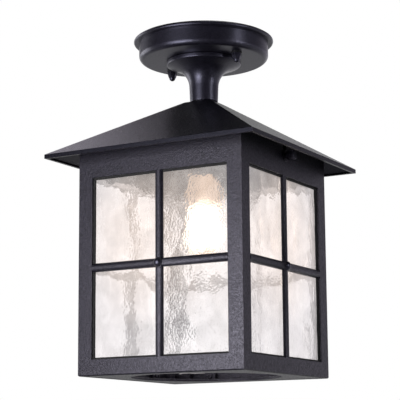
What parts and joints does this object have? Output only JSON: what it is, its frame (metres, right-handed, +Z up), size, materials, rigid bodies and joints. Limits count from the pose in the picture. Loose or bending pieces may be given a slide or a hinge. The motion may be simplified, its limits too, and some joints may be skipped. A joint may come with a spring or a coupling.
{
  "type": "porch lantern",
  "caption": "Square black ceiling porch lantern with a pyramid roof on a flared stem and round rose, barred windows of rippled glass and an open base for changing the lamp.",
  "frame": {"origin": "centre of the ceiling plane: the strap's upper face on the axis of the stem", "axes": "+Z up towards the ceiling, along the stem; the front window looks along -Y, the thumbscrews are on X"},
  "size_m": [0.2166, 0.2166, 0.3232],
  "materials": {
    "powder_coat": "satin",
    "water_glass": "gloss",
    "zinc_steel": "satin",
    "black_screws": "satin",
    "brass": "satin",
    "rubber": "matte",
    "holder_plastic": "satin",
    "holder_ceramic": "satin",
    "block_plastic": "satin",
    "lamp_glass": "satin",
    "lamp_metal": "satin",
    "lamp_insulation": "gloss",
    "brown_wire": "satin",
    "blue_wire": "satin",
    "earth_wire": "satin"
  },
  "bodies": {
    "ceiling_fitting": {"ceiling_rose": "powder_coat", "stem": "powder_coat", "roof": "powder_coat", "mounting_strap": "zinc_steel", "strap_studs": "zinc_steel", "stud_locknuts": "zinc_steel", "stem_nipple": "zinc_steel", "nipple_top_nut": "zinc_steel", "nipple_top_washer": "zinc_steel", "nipple_roof_nut": "zinc_steel", "nipple_roof_washer": "zinc_steel", "terminal_fixing_screw": "zinc_steel", "terminal_screws": "brass", "earth_screw": "brass", "lampholder_screw_shell": "brass", "lampholder_contact": "brass", "rose_gasket": "rubber", "roof_seal": "rubber", "lampholder_cap": "holder_plastic", "lampholder_skirt": "holder_plastic", "lampholder_insert": "holder_ceramic", "terminal_block": "block_plastic", "live_wire": "brown_wire", "neutral_wire": "blue_wire", "earth_wire": "earth_wire"},
    "lantern": {"front_panel": "powder_coat", "right_panel": "powder_coat", "rear_panel": "powder_coat", "left_panel": "powder_coat", "front_glass": "water_glass", "right_glass": "water_glass", "rear_glass": "water_glass", "left_glass": "water_glass", "glass_clips": "black_screws", "glass_clip_screws": "black_screws", "front_right_cleat": "black_screws", "rear_right_cleat": "black_screws", "rear_left_cleat": "black_screws", "front_left_cleat": "black_screws", "cleat_screws": "black_screws", "base_plate": "powder_coat", "base_plate_screws": "black_screws"},
    "lamp": {"lamp_envelope": "lamp_glass", "lamp_cap": "lamp_metal", "lamp_insulator": "lamp_insulation", "lamp_eyelet": "brass"},
    "right_thumbscrew_washer": {"right_thumbscrew_washer": "black_screws"},
    "right_thumbscrew": {"right_thumbscrew": "powder_coat"},
    "right_finial_washer": {"right_finial_washer": "rubber"},
    "right_finial_nut": {"right_finial_nut": "powder_coat"},
    "left_thumbscrew_washer": {"left_thumbscrew_washer": "black_screws"},
    "left_thumbscrew": {"left_thumbscrew": "powder_coat"},
    "left_finial_washer": {"left_finial_washer": "rubber"},
    "left_finial_nut": {"left_finial_nut": "powder_coat"}
  },
  "joints": [
    {"name": "lantern_drop", "type": "slide", "parent": "ceiling_fitting", "child": "lantern", "axis": [0, 0, -1], "range_m": [0, 0.13]},
    {"name": "lamp_withdraw", "type": "slide", "parent": "ceiling_fitting", "child": "lamp", "axis": [0, 0, -1], "range_m": [0, 0.036]},
    {"name": "right_thumbscrew_travel", "type": "slide", "parent": "ceiling_fitting", "child": "right_thumbscrew_washer", "axis": [1, 0, 0], "range_m": [0, 0.004]},
    {"name": "right_thumbscrew_turn", "type": "hinge", "parent": "right_thumbscrew_washer", "child": "right_thumbscrew", "pos_m": [0.09, 0, -0.1232], "axis": [1, 0, 0], "range_deg": [0, 1801]},
    {"name": "right_finial_travel", "type": "slide", "parent": "ceiling_fitting", "child": "right_finial_washer", "axis": [0, 0, -1], "range_m": [0, 0.004]},
    {"name": "right_finial_turn", "type": "hinge", "parent": "right_finial_washer", "child": "right_finial_nut", "pos_m": [0.04303, -0.01316, -0.028], "axis": [0, 0, -1], "range_deg": [0, 1801]},
    {"name": "left_thumbscrew_travel", "type": "slide", "parent": "ceiling_fitting", "child": "left_thumbscrew_washer", "axis": [-1, 0, 0], "range_m": [0, 0.004]},
    {"name": "left_thumbscrew_turn", "type": "hinge", "parent": "left_thumbscrew_washer", "child": "left_thumbscrew", "pos_m": [-0.09, 0, -0.1232], "axis": [-1, 0, 0], "range_deg": [0, 1801]},
    {"name": "left_finial_travel", "type": "slide", "parent": "ceiling_fitting", "child": "left_finial_washer", "axis": [0, 0, -1], "range_m": [0, 0.004]},
    {"name": "left_finial_turn", "type": "hinge", "parent": "left_finial_washer", "child": "left_finial_nut", "pos_m": [-0.04303, 0.01316, -0.028], "axis": [0, 0, -1], "range_deg": [0, 1801]}
  ],
  "couplings": [
    {"joint": "right_thumbscrew_turn", "follows": "right_thumbscrew_travel", "rad_per_m": 7854},
    {"joint": "right_finial_turn", "follows": "right_finial_travel", "rad_per_m": 7854},
    {"joint": "left_thumbscrew_turn", "follows": "left_thumbscrew_travel", "rad_per_m": 7854},
    {"joint": "left_finial_turn", "follows": "left_finial_travel", "rad_per_m": 7854}
  ]
}
